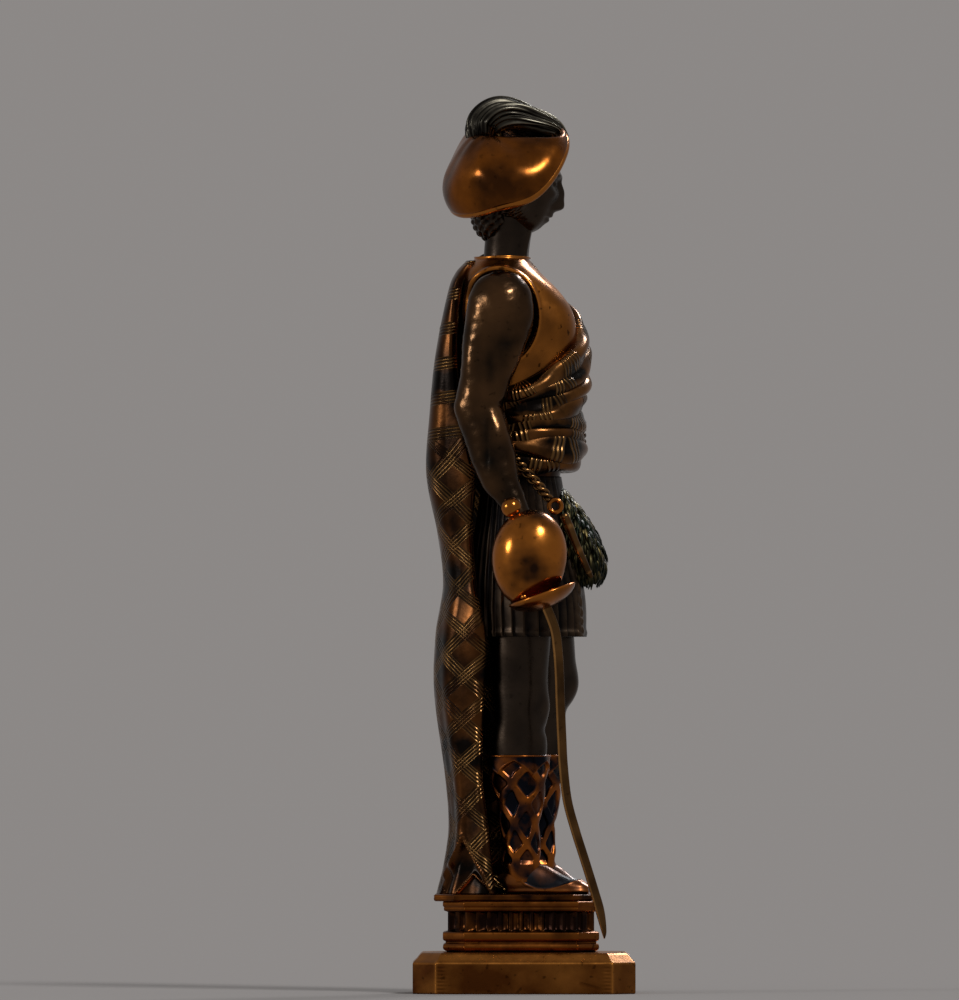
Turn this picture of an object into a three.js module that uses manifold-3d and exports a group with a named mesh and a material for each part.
// A small bronze of a highland swordsman, 90 mm tall, in two finishes: gilt dress and dark patinated flesh.
// The gilt and the dark castings are made apart, pinned together and screwed down on a fluted plinth and a block.
// Millimetres, +Z up, +X the way the figure faces, origin at the centre of the block's underside.
import * as THREE from "three";
import { mergeVertices } from "three/addons/utils/BufferGeometryUtils.js";
import Module from "manifold-3d";

// Base sizes.
const BLOCK_LENGTH = 22.2;
const BLOCK_DEPTH = 19;
const BLOCK_HEIGHT = 4.1;
const BLOCK_BEVEL = 1.1;
const BLOCK_CORNER = 2.3;
const PLINTH_LENGTH = 15.6;
const PLINTH_DEPTH = 13;
const PLINTH_CORNER = 2.1;
const PLINTH_CENTRE_X = -0.3; // the plinth stands a little back on the block
const FOOT_HEIGHT = 2.1;
const FRIEZE_HEIGHT = 2;
const FRIEZE_INSET = 0.5;
const CAP_HEIGHT = 1;
const MOULDING_GROOVE = 0.25;
const FLUTE_PITCH = 1.1;
const FLUTE_RADIUS = 0.36;
const GROUND_THICKNESS = 0.7;
const GROUND_OVERHANG = 0.4; // how far the ground reaches past the soles and the hem
const GROUND_DEPTH = 12.2;
const GROUND_CORNER = 1.9;
const SPIGOT_RADIUS = 2.2;
const SPIGOT_LENGTH = 2.2;
const STUD_RADIUS = 1;
const STUD_END_DEPTH = 2.6; // how far the stud screws into the block

// Figure sizes. The stations below are written for a figure of MODELLED_HEIGHT.
const MODELLED_HEIGHT = 79.7;
const FIGURE_HEIGHT = 79.7;
const PIN_RADIUS = 0.6;
const CLOTH_THICKNESS = 1;
const BASKET_LENGTH = 9.7;
const BASKET_WIDTH = 7.7;
const BASKET_DEPTH = 6.4;
const BASKET_WALL = 0.6;
const POMMEL_RADIUS = 1.05;
const GUARD_RADIUS = 3.5;
const GRIP_RADIUS = 0.75;
const TANG_RADIUS = 0.4;
const DISH_HOLLOW = 0.65;
const DISH_WALL = 0.5;
const BLADE_WIDTH = 0.95;
const BLADE_THICKNESS = 0.55;
const FIT_GAP = 0.15; // clearance where two castings meet

const SCALE = FIGURE_HEIGHT / MODELLED_HEIGHT;
const PLINTH_HEIGHT = FOOT_HEIGHT + FRIEZE_HEIGHT + CAP_HEIGHT;
const SOLE_LEVEL = BLOCK_HEIGHT + PLINTH_HEIGHT + GROUND_THICKNESS;
const MERGE = 1e-4;

const GILT = { color: 0x9a5a1c, metalness: 1, roughness: 0.3 };
const DARK = { color: 0x2a211b, metalness: 0.8, roughness: 0.38 };
const TARTAN = { color: 0x6e4420, metalness: 1, roughness: 0.35 };
const FUR = { color: 0x25261f, metalness: 0.8, roughness: 0.5 };
const BRASS = { color: 0xb08d4a, metalness: 1, roughness: 0.35 };

const wasm = await Module();
wasm.setup();

// ---- solids ----

function solidOf(geometry) {
  const bare = geometry.index ? geometry.toNonIndexed() : geometry.clone();
  bare.deleteAttribute("normal");
  bare.deleteAttribute("uv");
  const merged = mergeVertices(bare, MERGE);
  const mesh = new wasm.Mesh({
    numProp: 3,
    vertProperties: merged.attributes.position.array,
    triVerts: new Uint32Array(merged.index.array),
  });
  return new wasm.Manifold(mesh);
}

function geometryOf(solid) {
  const mesh = solid.getMesh();
  const points = new Float32Array(mesh.numVert * 3);
  for (let i = 0; i < mesh.numVert; i++) {
    points.set(mesh.vertProperties.subarray(i * mesh.numProp, i * mesh.numProp + 3), i * 3);
  }
  const geometry = new THREE.BufferGeometry();
  geometry.setAttribute("position", new THREE.BufferAttribute(points, 3));
  geometry.setIndex(new THREE.BufferAttribute(mesh.triVerts, 1));
  return geometry;
}

function smoothCurve(points) {
  return new THREE.CatmullRomCurve3(points, false, "catmullrom", 0.5);
}

function roundPower(value, power) {
  return Math.sign(value) * Math.abs(value) ** (2 / power);
}

// A closed skin over stations [x, y, z, half across, half sideways, squareness], written at the modelled height.
// level keeps every ring horizontal; otherwise rings stand square to the path, with `side` as their second axis.
function loft(stations, options = {}) {
  const { around = 12, along = 8, level = false, floor = -Infinity, shape = null, grow = 0 } = options;
  const side = options.side ?? new THREE.Vector3(0, 1, 0);
  const path = smoothCurve(stations.map(([x, y, z]) => new THREE.Vector3(x, y, z).multiplyScalar(SCALE)));
  const halves = smoothCurve(stations.map((s) => new THREE.Vector3(s[3] * SCALE, s[4] * SCALE, s[5] ?? 2)));
  const geometry = new THREE.CylinderGeometry(1, 1, 1, around, along);
  const position = geometry.attributes.position;
  for (let i = 0; i < position.count; i++) {
    const t = THREE.MathUtils.clamp(position.getY(i) + 0.5, 0, 1);
    const reach = Math.min(1, Math.hypot(position.getX(i), position.getZ(i)));
    const angle = Math.atan2(-position.getZ(i), position.getX(i));
    const half = halves.getPoint(t);
    const tangent = level ? new THREE.Vector3(0, 0, 1) : path.getTangent(t);
    const sideways = side.clone().addScaledVector(tangent, -side.dot(tangent)).normalize();
    const across = sideways.clone().cross(tangent);
    const extra = grow + (shape ? shape(t, angle) * SCALE : 0);
    const point = path.getPoint(t);
    point.addScaledVector(across, reach * (half.x + extra) * roundPower(Math.cos(angle), half.z));
    point.addScaledVector(sideways, reach * (half.y + extra) * roundPower(Math.sin(angle), half.z));
    point.addScaledVector(tangent, grow * (t === 0 ? -1 : t === 1 ? 1 : 0));
    point.z = Math.max(point.z, floor);
    position.setXYZ(i, point.x, point.y, point.z);
  }
  return solidOf(geometry);
}

// An ellipsoid at a modelled place, with its half sizes along X, Y and Z before it is tilted about Y.
function ball([x, y, z], [rx, ry, rz], { grow = 0, tilt = 0, around = 14, rows = 8, scaled = true } = {}) {
  const k = scaled ? SCALE : 1;
  const geometry = new THREE.SphereGeometry(1, around, rows);
  geometry.scale(rx * k + grow, ry * k + grow, rz * k + grow);
  geometry.rotateY(tilt);
  geometry.translate(x * SCALE, y * SCALE, z * SCALE);
  return solidOf(geometry);
}

// A round rod between two modelled points, with its radius as it is.
function rod(from, to, radius, { grow = 0, around = 12 } = {}) {
  const a = new THREE.Vector3(...from).multiplyScalar(SCALE);
  const b = new THREE.Vector3(...to).multiplyScalar(SCALE);
  const run = b.clone().sub(a);
  const geometry = new THREE.CylinderGeometry(radius + grow, radius + grow, run.length() + 2 * grow, around);
  const turn = new THREE.Quaternion().setFromUnitVectors(new THREE.Vector3(0, 1, 0), run.clone().normalize());
  geometry.applyQuaternion(turn);
  geometry.translate(...a.add(b).multiplyScalar(0.5).toArray());
  return solidOf(geometry);
}

function joined(...solids) {
  return solids.reduce((a, b) => a.add(b));
}

// ---- assembly ----

const figure = new THREE.Group();
figure.position.z = SOLE_LEVEL;
const fitted = []; // the figure's pieces so far, each as the space that a neighbour must leave

function meshOf(name, solid, finish) {
  const mesh = new THREE.Mesh(geometryOf(solid), new THREE.MeshStandardMaterial(finish));
  mesh.name = name;
  return mesh;
}

function boxesMeet(a, b) {
  return [0, 1, 2].every((k) => a.min[k] < b.max[k] && b.min[k] < a.max[k]);
}

// Adds a casting of the figure, cut back by FIT_GAP from every piece that was fitted before it.
function fit(name, finish, shapeOf) {
  let solid = shapeOf(0);
  for (const space of fitted) {
    if (boxesMeet(solid.boundingBox(), space.boundingBox())) solid = solid.subtract(space);
  }
  fitted.push(shapeOf(FIT_GAP));
  figure.add(meshOf(name, solid, finish));
}

// ---- base: block, plinth, ground and the stud that ties them ----

function cutCornerPoints(length, depth, corner) {
  const x = length / 2;
  const y = depth / 2;
  return [
    [x, y - corner], [x - corner, y], [corner - x, y], [-x, y - corner],
    [-x, corner - y], [corner - x, -y], [x - corner, -y], [x, corner - y],
  ].map(([px, py]) => new THREE.Vector2(px, py));
}

function slab(points, height, bottom) {
  const geometry = new THREE.ExtrudeGeometry(new THREE.Shape(points), { depth: height, bevelEnabled: false });
  geometry.translate(0, 0, bottom);
  return solidOf(geometry);
}

function blockSolid() {
  const points = cutCornerPoints(BLOCK_LENGTH, BLOCK_DEPTH, BLOCK_CORNER);
  const shape = new THREE.Shape(points);
  const geometry = new THREE.ExtrudeGeometry(shape, { depth: BLOCK_HEIGHT, steps: 2, bevelEnabled: false });
  const position = geometry.attributes.position;
  for (let i = 0; i < position.count; i++) {
    const onTop = position.getZ(i) > BLOCK_HEIGHT * 0.75;
    const onWaist = Math.abs(position.getZ(i) - BLOCK_HEIGHT / 2) < MERGE;
    if (onTop) position.setX(i, position.getX(i) * (1 - (2 * BLOCK_BEVEL) / BLOCK_LENGTH));
    if (onTop) position.setY(i, position.getY(i) * (1 - (2 * BLOCK_BEVEL) / BLOCK_DEPTH));
    if (onWaist) position.setZ(i, BLOCK_HEIGHT - BLOCK_BEVEL);
  }
  return solidOf(geometry);
}

// The frieze's outline: upright hollow flutes along each side of the cut-corner rectangle.
function flutedPoints(corners) {
  const points = [];
  corners.forEach((start, i) => {
    const end = corners[(i + 1) % corners.length];
    const run = end.clone().sub(start);
    const along = run.clone().normalize();
    const inward = new THREE.Vector2(-along.y, along.x);
    const count = Math.max(1, Math.floor(run.length() / FLUTE_PITCH));
    points.push(start);
    for (let n = 0; n < count; n++) {
      const middle = start.clone().addScaledVector(run, (n + 0.5) / count);
      for (const turn of [0, 0.25, 0.5, 0.75, 1]) {
        const point = middle.clone().addScaledVector(along, -FLUTE_RADIUS * Math.cos(Math.PI * turn));
        points.push(point.addScaledVector(inward, FLUTE_RADIUS * Math.sin(Math.PI * turn)));
      }
    }
  });
  return points;
}

function inset(amount) {
  return cutCornerPoints(PLINTH_LENGTH - 2 * amount, PLINTH_DEPTH - 2 * amount, PLINTH_CORNER);
}

function plinthSolid() {
  const friezeBottom = BLOCK_HEIGHT + FOOT_HEIGHT;
  const capBottom = friezeBottom + FRIEZE_HEIGHT;
  const step = FOOT_HEIGHT / 3;
  return joined(
    slab(inset(MOULDING_GROOVE), FOOT_HEIGHT, BLOCK_HEIGHT),
    slab(inset(0), step, BLOCK_HEIGHT + step / 2),
    slab(inset(0), step, BLOCK_HEIGHT + 2 * step),
    slab(flutedPoints(inset(FRIEZE_INSET)), FRIEZE_HEIGHT, friezeBottom),
    slab(inset(MOULDING_GROOVE / 2), CAP_HEIGHT / 2, capBottom),
    slab(inset(0), CAP_HEIGHT / 2, capBottom + CAP_HEIGHT / 2),
  );
}

function upright(radius, bottom, top, around = 24) {
  const geometry = new THREE.CylinderGeometry(radius, radius, top - bottom, around);
  geometry.rotateX(Math.PI / 2);
  geometry.translate(0, 0, (bottom + top) / 2);
  return solidOf(geometry);
}

// The ground reaches from behind the mantle's hem to in front of the toes.
const HEM_BACK_X = -8.6;
const TOE_X = 6.45;

function groundSolid() {
  const length = (TOE_X - HEM_BACK_X) * SCALE + 2 * GROUND_OVERHANG;
  const centre = ((TOE_X + HEM_BACK_X) / 2) * SCALE;
  const bottom = SOLE_LEVEL - GROUND_THICKNESS;
  const plate = slab(cutCornerPoints(length, GROUND_DEPTH * SCALE, GROUND_CORNER), GROUND_THICKNESS, bottom);
  const spigot = upright(SPIGOT_RADIUS, bottom - SPIGOT_LENGTH, bottom + GROUND_THICKNESS / 2);
  return plate.translate([centre - PLINTH_CENTRE_X, 0, 0]).add(spigot);
}

// One rod up each leg ties ground, shoe, hose and leg together.
const ROD_TOP = 18;
const RIGHT_ROD = [-0.5, -2.9];
const LEFT_ROD = [1.3, 2.9];
const rodBottom = (FIT_GAP - GROUND_THICKNESS) / SCALE;

function rightRodShape(grow) {
  return rod([...RIGHT_ROD, rodBottom], [...RIGHT_ROD, ROD_TOP], PIN_RADIUS, { grow });
}

function leftRodShape(grow) {
  return rod([...LEFT_ROD, rodBottom], [...LEFT_ROD, ROD_TOP], PIN_RADIUS, { grow });
}

// The rods' holes in the ground plate, in the plinth's own place.
function rodHoles() {
  const holes = joined(rightRodShape(FIT_GAP), leftRodShape(FIT_GAP));
  return holes.translate([-PLINTH_CENTRE_X, 0, SOLE_LEVEL]);
}

const studBottom = BLOCK_HEIGHT - STUD_END_DEPTH;
const studTop = SOLE_LEVEL - GROUND_THICKNESS - FIT_GAP;
const studHole = upright(STUD_RADIUS + FIT_GAP, studBottom - FIT_GAP, studTop + FIT_GAP);
const spigotHole = upright(SPIGOT_RADIUS + FIT_GAP, SOLE_LEVEL - GROUND_THICKNESS - SPIGOT_LENGTH - FIT_GAP, SOLE_LEVEL);

const base = new THREE.Group();
base.add(meshOf("base_block", blockSolid().subtract(studHole.translate([PLINTH_CENTRE_X, 0, 0])), GILT));
const stacked = new THREE.Group();
stacked.position.x = PLINTH_CENTRE_X;
stacked.add(meshOf("tie_stud", upright(STUD_RADIUS, studBottom, studTop), BRASS));
stacked.add(meshOf("plinth", plinthSolid().subtract(studHole).subtract(spigotHole), GILT));
stacked.add(meshOf("ground_plate", groundSolid().subtract(studHole).subtract(rodHoles()), GILT));
base.add(stacked);

// ---- pins, which every casting is drilled for ----

fit("right_leg_rod", BRASS, rightRodShape);
fit("left_leg_rod", BRASS, leftRodShape);
fit("waist_pin", BRASS, (grow) => rod([-0.2, 0, 37], [-0.2, 0, 47], PIN_RADIUS, { grow }));
fit("neck_pin", BRASS, (grow) => rod([-1.7, 0, 57], [-1.7, 0, 66], PIN_RADIUS, { grow }));
fit("right_shoulder_pin", BRASS, (grow) => rod([-2.4, -7.2, 57.5], [-2.4, -2.5, 57.5], PIN_RADIUS, { grow }));
fit("left_shoulder_pin", BRASS, (grow) => rod([-2.4, 7.2, 57.5], [-2.4, 2.5, 57.5], PIN_RADIUS, { grow }));
fit("bonnet_pin", BRASS, (grow) => rod([-1.9, 0.3, 70], [-2.9, 0.6, 76.2], PIN_RADIUS, { grow }));

// ---- shoes, legs and hose ----

// Heel to toe, the sole cut flat at the ground.
const RIGHT_SHOE = [
  [-2.1, -2.6, 0.9, 0.5, 0.6], [-1.8, -2.6, 1.1, 1.2, 1.2], [-0.4, -2.6, 1.4, 1.9, 1.5],
  [1.2, -2.7, 1.3, 1.9, 1.5], [2.8, -2.9, 0.9, 1.6, 1.6], [4.4, -3.1, 0.6, 1.15, 1.6],
  [5.7, -3.3, 0.5, 0.85, 1.3], [6.45, -3.4, 0.45, 0.45, 0.7],
];
const LEFT_SHOE = [
  [-0.7, 2.4, 0.9, 0.5, 0.6], [-0.4, 2.5, 1.1, 1.2, 1.2], [0.9, 2.8, 1.4, 1.9, 1.5],
  [2.3, 3.1, 1.3, 1.9, 1.5], [3.6, 3.5, 0.9, 1.6, 1.6], [4.8, 3.9, 0.6, 1.15, 1.6],
  [5.8, 4.2, 0.5, 0.85, 1.3], [6.4, 4.4, 0.45, 0.45, 0.7],
];
fit("right_shoe", GILT, (grow) => loft(RIGHT_SHOE, { along: 10, around: 14, floor: 0, grow }));
fit("left_shoe", GILT, (grow) => loft(LEFT_SHOE, { along: 10, around: 14, floor: 0, grow }));

const RIGHT_LEG = [
  [-0.6, -2.7, 12.4, 2.75, 2.3], [-0.55, -2.7, 14.5, 2.85, 2.35], [-0.5, -2.75, 17, 2.85, 2.4],
  [-0.45, -2.75, 20, 2.9, 2.45], [-0.45, -2.75, 23, 2.95, 2.5], [-0.4, -2.75, 26, 3.1, 2.55],
  [-0.3, -2.75, 29, 3.2, 2.55],
];
const LEFT_LEG = [
  [1.1, 2.8, 12.4, 2.75, 2.3], [1.2, 2.8, 14.5, 2.75, 2.35], [1.45, 2.85, 17.4, 2.65, 2.35],
  [2.35, 2.9, 21, 2.95, 2.45], [2.15, 2.85, 23.5, 3, 2.5], [1.9, 2.8, 26, 3.1, 2.55],
  [1.2, 2.8, 29, 3.2, 2.55],
];
fit("right_leg", DARK, (grow) => loft(RIGHT_LEG, { level: true, grow }));
fit("left_leg", DARK, (grow) => loft(LEFT_LEG, { level: true, grow }));

const RIGHT_HOSE = [
  [-0.2, -2.7, 1.2, 1.8, 1.4], [-0.25, -2.7, 3.4, 2, 1.6], [-0.3, -2.7, 5, 1.95, 1.65],
  [-0.4, -2.7, 7, 2.1, 1.85], [-0.45, -2.7, 9, 2.4, 2.1], [-0.5, -2.7, 11, 2.8, 2.4],
  [-0.6, -2.7, 12.8, 3.05, 2.6], [-0.65, -2.7, 13.9, 3.15, 2.65],
];
const LEFT_HOSE = [
  [1.3, 2.8, 1.2, 1.8, 1.4], [1.25, 2.8, 3.4, 2, 1.6], [1.2, 2.8, 5, 1.95, 1.65],
  [1.15, 2.8, 7, 2.1, 1.85], [1.15, 2.8, 9, 2.4, 2.1], [1.1, 2.8, 11, 2.75, 2.4],
  [1.1, 2.8, 12.8, 2.95, 2.55], [1.05, 2.8, 13.9, 3.05, 2.6],
];
fit("right_hose", GILT, (grow) => loft(RIGHT_HOSE, { level: true, grow }));
fit("left_hose", GILT, (grow) => loft(LEFT_HOSE, { level: true, grow }));

// ---- kilt, waistcoat and head ----

const WAIST_LEVEL = 41.4;
const KILT_HALF_WIDTH = 5.75;

const KILT = [
  [0.35, 0, 25.7, 5.95, KILT_HALF_WIDTH, 2.3], [0.3, 0, 29, 5.9, 5.7, 2.3], [0.1, 0, 34, 5.3, 5.4, 2.2],
  [-0.1, 0, 38, 4.5, 4.8, 2.1], [-0.2, 0, WAIST_LEVEL, 3.9, 4.3, 2],
];
const PLEATS = 12;
const PLEAT_DEPTH = 0.2;
const pleats = (t, angle) => PLEAT_DEPTH * (1 - t) * Math.cos(PLEATS * angle);
fit("kilt", DARK, (grow) => loft(KILT, { level: true, around: 4 * PLEATS, along: 4, shape: pleats, grow }));

const WAISTCOAT = [
  [-0.2, 0, WAIST_LEVEL + FIT_GAP / SCALE, 3.8, 4.2, 2], [-0.15, 0, 46, 4.6, 4.5, 2.1], [-0.2, 0, 50, 5.1, 4.9, 2.3],
  [-0.3, 0, 54, 5.5, 5.2, 2.6], [-0.7, 0, 57.5, 5.6, 5.4, 2.8], [-1.3, 0, 60, 4.9, 5.4, 2.8],
  [-2.1, 0, 62, 3.9, 4.9, 2.5], [-2.3, 0, 63.1, 3, 3.8, 2.2], [-2.1, 0, 63.7, 2.6, 2.7, 2],
];

// The head is one of seven and a half head heights in the stature. Its features sit at the usual shares of that
// height, from the chin up: the nose's foot at a third of the face, the eyes at half, and the skull is as long
// from front to back as seven eighths of its height and two thirds as wide.
const STATURE = 76;
const HEAD_HEIGHT = STATURE / 7.5;
const CHIN_LEVEL = STATURE - HEAD_HEIGHT;
const HEAD_X = -0.7;
const HEAD_LONG_HALF = (HEAD_HEIGHT * 7) / 16;
const HEAD_WIDE_HALF = HEAD_HEIGHT / 3;

function headShape(grow) {
  const neck = [[-1.9, 0, 60.6, 2.4, 2.3], [-1.7, 0, 64, 2.4, 2.2], [-1.2, 0, 68, 2.6, 2.4]];
  const skull = [HEAD_LONG_HALF, HEAD_WIDE_HALF * 1.1, HEAD_HEIGHT * 0.42];
  const jaw = [HEAD_LONG_HALF * 0.72, HEAD_WIDE_HALF * 0.85, HEAD_HEIGHT * 0.36];
  const chinSize = HEAD_HEIGHT * 0.1;
  const faceX = HEAD_X + HEAD_LONG_HALF;
  return joined(
    loft(neck, { level: true, along: 4, grow }),
    ball([HEAD_X, 0, STATURE - skull[2]], skull, { grow }),
    ball([faceX - jaw[0] - 0.3, 0, CHIN_LEVEL + jaw[2] + 0.2], jaw, { grow }),
    ball([faceX - chinSize * 1.5, 0, CHIN_LEVEL + chinSize], [chinSize, chinSize * 1.2, chinSize], { grow, around: 10 }),
    ball([faceX, 0, CHIN_LEVEL + HEAD_HEIGHT * 0.4], [0.6, 0.6, HEAD_HEIGHT * 0.11], { grow, around: 8, rows: 6 }),
    ball([HEAD_X - 2.6, 0, CHIN_LEVEL + HEAD_HEIGHT * 0.3], [1.9, 3, 2.6], { grow, around: 10, rows: 6 }),
  );
}
fit("head", DARK, headShape);
fit("waistcoat", GILT, (grow) => loft(WAISTCOAT, { level: true, around: 20, along: 10, grow }));

// ---- bonnet: pulled down at the back and over the right ear ----

const BONNET_CENTRE = [-1.7, 0, 72.4];
const BONNET_PITCH = THREE.MathUtils.degToRad(-33.5);
const BONNET_ROLL = THREE.MathUtils.degToRad(24);
const BONNET_LENGTH_HALF = 7;
const BONNET_WIDTH_HALF = 6.3;
const CROWN_HEIGHT = 3.7;
const UNDERSIDE_DEPTH = 1.9;
const RIM_RADIUS = 0.4;

function worn(geometry) {
  geometry.rotateX(BONNET_ROLL);
  geometry.rotateY(BONNET_PITCH);
  const [x, y, z] = BONNET_CENTRE;
  geometry.translate(x * SCALE, y * SCALE, z * SCALE);
  return solidOf(geometry);
}

function crownShape(grow) {
  const geometry = new THREE.SphereGeometry(1, 18, 8);
  geometry.rotateX(Math.PI / 2);
  const position = geometry.attributes.position;
  for (let i = 0; i < position.count; i++) {
    const height = position.getZ(i) > 0 ? CROWN_HEIGHT : UNDERSIDE_DEPTH;
    position.setX(i, position.getX(i) * (BONNET_LENGTH_HALF * SCALE + grow));
    position.setY(i, position.getY(i) * (BONNET_WIDTH_HALF * SCALE + grow));
    position.setZ(i, position.getZ(i) * (height * SCALE + grow));
  }
  return worn(geometry);
}

function rimShape(grow) {
  const tube = RIM_RADIUS * SCALE + grow;
  const geometry = new THREE.TorusGeometry(1, 0.1, 6, 18);
  const position = geometry.attributes.position;
  for (let i = 0; i < position.count; i++) {
    const radius = Math.hypot(position.getX(i), position.getY(i));
    const cos = position.getX(i) / radius;
    const sin = position.getY(i) / radius;
    const out = ((radius - 1) / 0.1) * tube;
    const x = cos * (BONNET_LENGTH_HALF * SCALE - RIM_RADIUS + out);
    position.setXYZ(i, x, sin * (BONNET_WIDTH_HALF * SCALE - RIM_RADIUS + out), (position.getZ(i) / 0.1) * tube);
  }
  geometry.translate(0, 0, -RIM_RADIUS);
  return worn(geometry);
}
fit("bonnet_rim", GILT, rimShape);
fit("bonnet_crown", GILT, crownShape);

const PLUME = [
  [4.3, 0.9, 75.6, 0.4, 0.5], [3.1, 0.8, 76.7, 0.85, 1.1], [1.2, 0.7, 77.5, 1.15, 1.6],
  [-0.8, 0.6, 78.1, 1.4, 1.9], [-2.6, 0.4, 78.15, 1.55, 2], [-4.1, 0.2, 77.4, 1.5, 1.9],
  [-4.8, 0, 76.2, 1, 1.5], [-5, -0.1, 75.2, 0.5, 0.8],
];
fit("plume", DARK, (grow) => loft(PLUME, { along: 12, around: 12, grow }));

// ---- sword, with the right fist inside its basket ----

// The sword hangs just clear of the kilt. Its parts are set out along its axis from the middle of the basket.
const SWORD_Y = -(KILT_HALF_WIDTH + PLEAT_DEPTH + (FIT_GAP + GUARD_RADIUS) / SCALE);
const BASKET = [0.5, SWORD_Y, 33.5];
const BASKET_TILT = THREE.MathUtils.degToRad(6);
const SWORD_TILT = THREE.MathUtils.degToRad(19.5);
const POMMEL_STANDOFF = 0.45; // pommel's middle above the basket's top
const BLADE_SHOULDER = 0.8; // blade's start below the basket's foot

// A point on the sword's axis, so many millimetres above the basket's middle.
function alongSword(distance) {
  const d = distance / SCALE;
  return [BASKET[0] - d * Math.sin(SWORD_TILT), SWORD_Y, BASKET[2] + d * Math.cos(SWORD_TILT)];
}

const POMMEL = alongSword(BASKET_LENGTH / 2 + POMMEL_STANDOFF);
const GUARD = alongSword(DISH_HOLLOW - BASKET_LENGTH / 2); // the basket's foot sits down in the dish
const GRIP_FOOT = alongSword(-BASKET_LENGTH / 2 - DISH_WALL / 2); // inside the dish, which cuts it to length
const BLADE = [
  alongSword(-BASKET_LENGTH / 2 - BLADE_SHOULDER), [3.1, -9.3, 25.2], [3.4, -9, 22], [3.6, -8.6, 19],
  [3.85, -8.2, 15.5], [4.2, -7.9, 12.8], [4.75, -7.5, 9.4], [5.4, -7.2, 6.4], [6.2, -6.9, 3.4],
  [7.05, -6.6, 0.4], [7.6, -6.5, -1.7], [7.95, -6.4, -3.6], [8, -6.4, -4.4],
];

function bladeShape(grow) {
  const last = BLADE.length - 1;
  const stations = BLADE.map(([x, y, z], i) => {
    const share = i > last - 2 ? 0.65 - 0.3 * (i - last + 2) : 1 - (0.25 * i) / last;
    return [x, y, z, ((BLADE_WIDTH / 2) * share) / SCALE, ((BLADE_THICKNESS / 2) * share) / SCALE];
  });
  return loft(stations, { around: 6, along: 16, grow });
}

function guardShape(grow) {
  const profile = [
    [0, -DISH_HOLLOW - DISH_WALL], [1.6, -0.45 - DISH_WALL], [2.8, 0.1 - DISH_WALL], [GUARD_RADIUS, 0.25],
    [GUARD_RADIUS, 0.5], [2.6, -0.05], [1.5, -0.5], [0, -DISH_HOLLOW],
  ].map(([r, h], i, all) => {
    const outside = i < all.length / 2 ? -grow : grow;
    return new THREE.Vector2(r === 0 ? 0 : r + grow, h + outside);
  });
  const geometry = new THREE.LatheGeometry(profile, 18);
  geometry.rotateX(Math.PI / 2);
  geometry.rotateY(-SWORD_TILT);
  geometry.translate(...GUARD.map((value) => value * SCALE));
  return solidOf(geometry);
}

function basketShape(grow) {
  const half = [BASKET_WIDTH / 2, BASKET_DEPTH / 2, BASKET_LENGTH / 2];
  const outer = ball(BASKET, half, { grow, tilt: BASKET_TILT, around: 18, rows: 10, scaled: false });
  const inside = half.map((value) => value - BASKET_WALL - grow);
  return outer.subtract(ball(BASKET, inside, { tilt: BASKET_TILT, around: 14, rows: 8, scaled: false }));
}

// The tang runs from the blade's shoulder up through guard, grip and pommel.
fit("sword_blade", TARTAN, (grow) => {
  const tang = rod(alongSword(-BASKET_LENGTH / 2 - BLADE_SHOULDER - TANG_RADIUS), POMMEL, TANG_RADIUS, { grow, around: 8 });
  return joined(bladeShape(grow), tang);
});
fit("sword_guard", GILT, guardShape);
fit("sword_pommel", GILT, (grow) => {
  const size = [POMMEL_RADIUS, POMMEL_RADIUS, POMMEL_RADIUS];
  return ball(POMMEL, size, { grow, around: 12, rows: 6, scaled: false });
});
fit("sword_grip", BRASS, (grow) => rod(GRIP_FOOT, POMMEL, GRIP_RADIUS, { grow }));

const RIGHT_ARM = [
  [-2.2, -6.5, 62, 0.9, 0.6], [-2.2, -6.7, 61.2, 2.5, 1.4], [-2.3, -6.9, 59.6, 3.35, 2],
  [-2.5, -7, 57.4, 3.6, 2.2], [-3.15, -7, 54.4, 3.2, 2.1], [-3.9, -7, 51.4, 2.65, 1.95],
  [-4.4, -7.1, 48.6, 2.45, 1.9], [-3.85, -7.4, 46.2, 2.45, 1.85], [-3, -7.8, 43.4, 2.35, 1.75],
  [-2.35, -8.2, 41.3, 2.1, 1.55], [-1.5, -8.5, 39.7, 1.7, 1.35], [-0.8, -8.9, 38.3, 1.4, 1.2],
  [-0.1, SWORD_Y, 36.6, 1.6, 1.5], [0.5, SWORD_Y, 34.6, 1.7, 1.6], [0.9, SWORD_Y, 33, 1.3, 1.2],
  [1, SWORD_Y, 32.4, 0.6, 0.6],
];
fit("right_arm", DARK, (grow) => loft(RIGHT_ARM, { along: 20, around: 12, grow }));
fit("sword_basket", GILT, basketShape);

const LEFT_ARM = [
  [-2.2, 6.5, 62, 0.9, 0.6], [-2.2, 6.7, 61.2, 2.5, 1.4], [-2.3, 6.9, 59.6, 3.3, 1.9],
  [-2.5, 7, 57.4, 3.4, 2], [-2.9, 7.1, 54.4, 2.9, 1.9], [-3.2, 7.2, 51.6, 2.4, 1.8],
  [-3, 7.3, 49, 2.1, 1.75], [-1.6, 7.2, 47.1, 1.9, 1.7], [0.6, 6.9, 46.3, 1.75, 1.6],
  [2.6, 6.3, 46.2, 1.5, 1.45], [4, 5.5, 46.3, 1.35, 1.3], [5.2, 4.5, 46.4, 1.35, 1.4],
  [5.9, 3.5, 46.4, 0.8, 0.8],
];
fit("left_arm", DARK, (grow) => loft(LEFT_ARM, { along: 16, around: 12, grow }));

// ---- plaid: sash across the chest, roll round the waist, mantle down the back ----

const bodyPath = smoothCurve(WAISTCOAT.map(([x, y, z]) => new THREE.Vector3(x, y, z)));
const bodyHalves = smoothCurve(WAISTCOAT.map((s) => new THREE.Vector3(s[3], s[4], s[2])));

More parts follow.
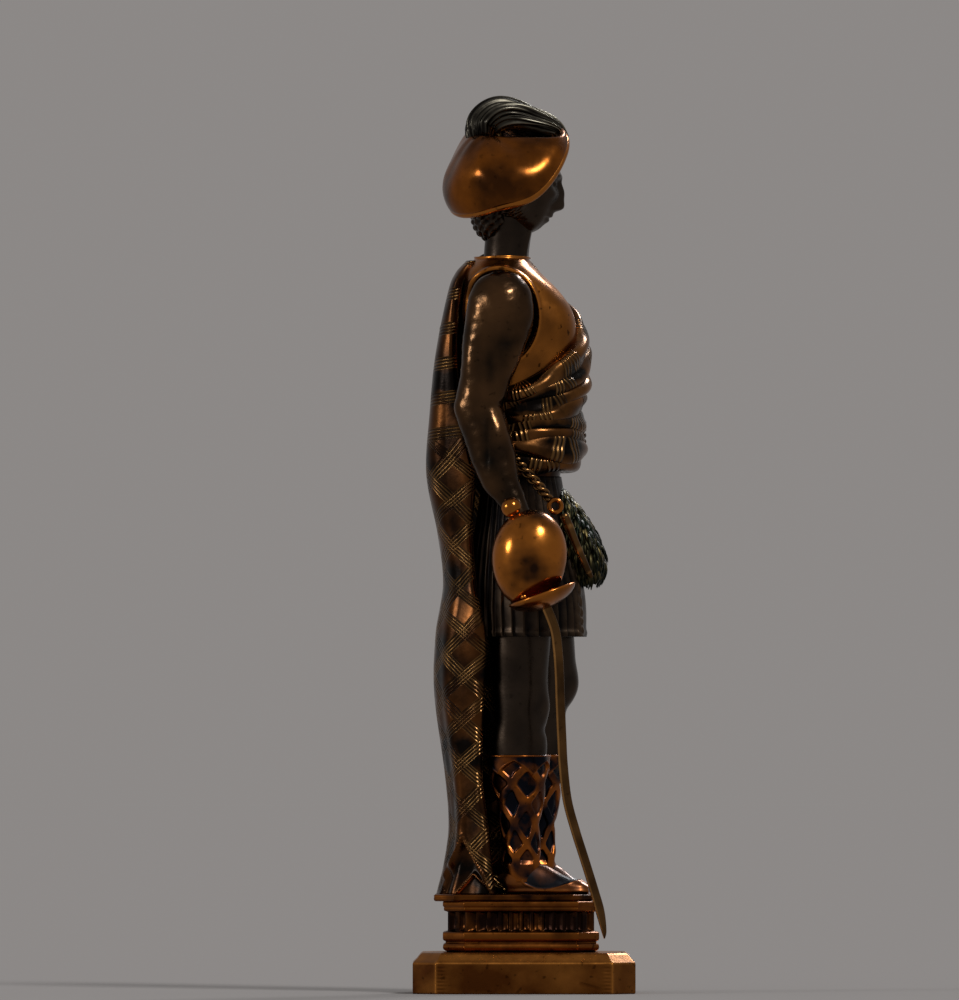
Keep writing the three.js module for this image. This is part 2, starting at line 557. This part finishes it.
// A point `out` clear of the waistcoat at an angle round it (0 is the chest, -90 the right side) and a height.
function onBody(degrees, z, out) {
  let t = 0;
  while (t < 1 && bodyPath.getPoint(t).z < z) t += 0.01;
  const half = bodyHalves.getPoint(Math.min(1, t));
  const angle = THREE.MathUtils.degToRad(degrees);
  const x = bodyPath.getPoint(Math.min(1, t)).x + (half.x + out) * Math.cos(angle);
  return [x, (half.y + out) * Math.sin(angle), z];
}

function foldAcross({ from, to, low, high, rise, radius }, grow) {
  const stations = [];
  for (let n = 0; n <= 8; n++) {
    const share = n / 8;
    const z = low + (high - low) * share ** rise;
    const thick = radius * (0.55 + 0.45 * Math.sin(Math.PI * Math.min(1, share + 0.15)));
    stations.push([...onBody(from + (to - from) * share, z, thick * 0.55), thick, thick]);
  }
  return loft(stations, { around: 6, along: 8, side: new THREE.Vector3(0, 0, 1), grow });
}

const CHEST_FOLDS = [0, 1, 2, 3, 4].map((n) => (
  { from: -112, to: 62, low: 49.4 - 0.7 * n, high: 61.5 - 3.3 * n, rise: 1.4, radius: 1.15 }
));
const WAIST_FOLDS = [
  { from: -120, to: 120, low: 45.6, high: 45.8, rise: 1, radius: 1.15 },
  { from: -120, to: 120, low: 44.5, high: 44.6, rise: 1, radius: 1.45 },
  { from: -120, to: 120, low: 43, high: 43.3, rise: 1, radius: 1.15 },
];
fit("plaid_waist_roll", TARTAN, (grow) => joined(...WAIST_FOLDS.map((fold) => foldAcross(fold, grow))));
fit("plaid_chest_sash", TARTAN, (grow) => joined(...CHEST_FOLDS.map((fold) => foldAcross(fold, grow))));

// ---- sporran, cord, ring and dirk on the right hip ----

const SPORRAN = [
  [6, 0, 31, 1.1, 2], [6, 0, 31.9, 2, 3], [5.8, 0, 33.4, 2.4, 3.4], [5.25, 0, 35.4, 2.45, 3.4],
  [4.6, 0, 37.4, 2.2, 3.1], [3.8, 0, 39.4, 1.6, 2.4], [3.4, 0, 41, 0.7, 1.5],
];
fit("sporran", FUR, (grow) => loft(SPORRAN, { level: true, along: 10, grow }));

const DIRK = [
  [3.9, -5.75, 37.9, 0.45, 0.35], [4.3, -5.75, 37, 0.48, 0.4], [5.2, -5.5, 34.8, 0.42, 0.38],
  [6.2, -5.1, 32.6, 0.36, 0.34], [6.75, -4.9, 31.6, 0.2, 0.2],
];
fit("dirk", TARTAN, (grow) => loft(DIRK, { around: 8, along: 8, grow }));

const RING_CENTRE = [3.1, -6, 38.7];
const RING_RADIUS = 0.62;
const RING_WIRE = 0.24;
fit("cord_ring", GILT, (grow) => {
  const geometry = new THREE.TorusGeometry(RING_RADIUS * SCALE, RING_WIRE * SCALE + grow, 8, 16);
  geometry.rotateX(Math.PI / 2);
  geometry.rotateY(THREE.MathUtils.degToRad(-30));
  geometry.translate(...RING_CENTRE.map((value) => value * SCALE));
  return solidOf(geometry);
});

const CORD = [
  [-1, -5.2, 43.7, 0.45, 0.45], [-0.3, -5.5, 42.8, 0.5, 0.5], [0.7, -5.7, 41.6, 0.52, 0.52],
  [1.7, -5.9, 40.4, 0.5, 0.5], [2.55, -6, 39.3, 0.42, 0.42],
];
fit("twisted_cord", TARTAN, (grow) => loft(CORD, { around: 8, along: 10, grow }));

// ---- mantle ----

// Height, back X, near edge X, near half width, far half width.
const MANTLE = [
  [0, -8.6, -2.9, 5.4, 5.6], [3, -7.8, -3.3, 5.3, 5.6], [7, -7.3, -3.8, 5.3, 5.8],
  [12, -7.7, -4.4, 5.4, 6.2], [20, -8.8, -4.1, 5.6, 6.8], [26, -8.7, -3.9, 5.9, 7.2],
  [31, -8, -5, 5.6, 8], [36, -8.6, -5.4, 5.2, 8.8], [42, -9.8, -5, 5, 9.4],
  [48, -9.5, -6.6, 4.8, 9.7], [54, -8.9, -7.2, 4.6, 9.6], [60, -7.8, -6.9, 4.4, 9],
  [63.2, -6.4, -5.9, 3.6, 7.4],
];
const MANTLE_FRONT_X = -1;
const MANTLE_FAR_ANGLE = THREE.MathUtils.degToRad(100);
const MANTLE_SQUARENESS = 2.6;
const MANTLE_FOLDS = 5;
const FOLD_DEPTH = 0.35;
const MANTLE_COLUMNS = 16;
const MANTLE_ROWS = 12;

function mantleShape(grow) {
  const backs = smoothCurve(MANTLE.map(([z, back, edge]) => new THREE.Vector3(z, back, edge)));
  const sides = smoothCurve(MANTLE.map(([z, , , near, far]) => new THREE.Vector3(z, near, far)));
  const geometry = new THREE.BoxGeometry(1, 1, 1, MANTLE_COLUMNS, 1, MANTLE_ROWS);
  const position = geometry.attributes.position;
  for (let i = 0; i < position.count; i++) {
    const v = position.getZ(i) + 0.5;
    const u = position.getX(i) + 0.5;
    const outer = position.getY(i) > 0;
    const { x: z, y: back, z: edge } = backs.getPoint(v);
    const { y: near, z: far } = sides.getPoint(v);
    const depth = MANTLE_FRONT_X - back;
    const share = THREE.MathUtils.clamp((MANTLE_FRONT_X - edge) / depth, 0, 1);
    const start = -Math.acos(share ** (MANTLE_SQUARENESS / 2));
    const angle = start + (MANTLE_FAR_ANGLE - start) * u;
    const fold = FOLD_DEPTH * (1 - v) * Math.cos(2 * MANTLE_FOLDS * angle);
    const offset = (outer ? fold : fold - CLOTH_THICKNESS) + (outer ? grow : -grow) / SCALE;
    const half = angle < 0 ? near : far;
    const x = MANTLE_FRONT_X - (depth + offset) * roundPower(Math.cos(angle), MANTLE_SQUARENESS);
    const y = (half + offset) * roundPower(Math.sin(angle), MANTLE_SQUARENESS);
    position.setXYZ(i, x * SCALE, y * SCALE, z * SCALE);
  }
  return solidOf(geometry);
}

// The plaid's turn over the left shoulder: the upper left quarter of a shell round the shoulder.
const SHOULDER = [-2.3, 3.4, 56.4];
const SHOULDER_HALF = [5.9, 6.5, 7.9];

function shoulderShape(grow) {
  const outer = ball(SHOULDER, SHOULDER_HALF, { grow, around: 18, rows: 10 });
  const inner = ball(SHOULDER, SHOULDER_HALF.map((half) => half - CLOTH_THICKNESS / SCALE), { around: 18, rows: 10 });
  const quarter = new THREE.BoxGeometry(20, 10, 14).translate(-2.3, 7.9, 61);
  quarter.scale(SCALE, SCALE, SCALE);
  return outer.subtract(inner).intersect(solidOf(quarter));
}
fit("plaid_mantle", TARTAN, (grow) => joined(mantleShape(grow), shoulderShape(grow)));

const statuette = new THREE.Group();
statuette.add(base, figure);

export default statuette;
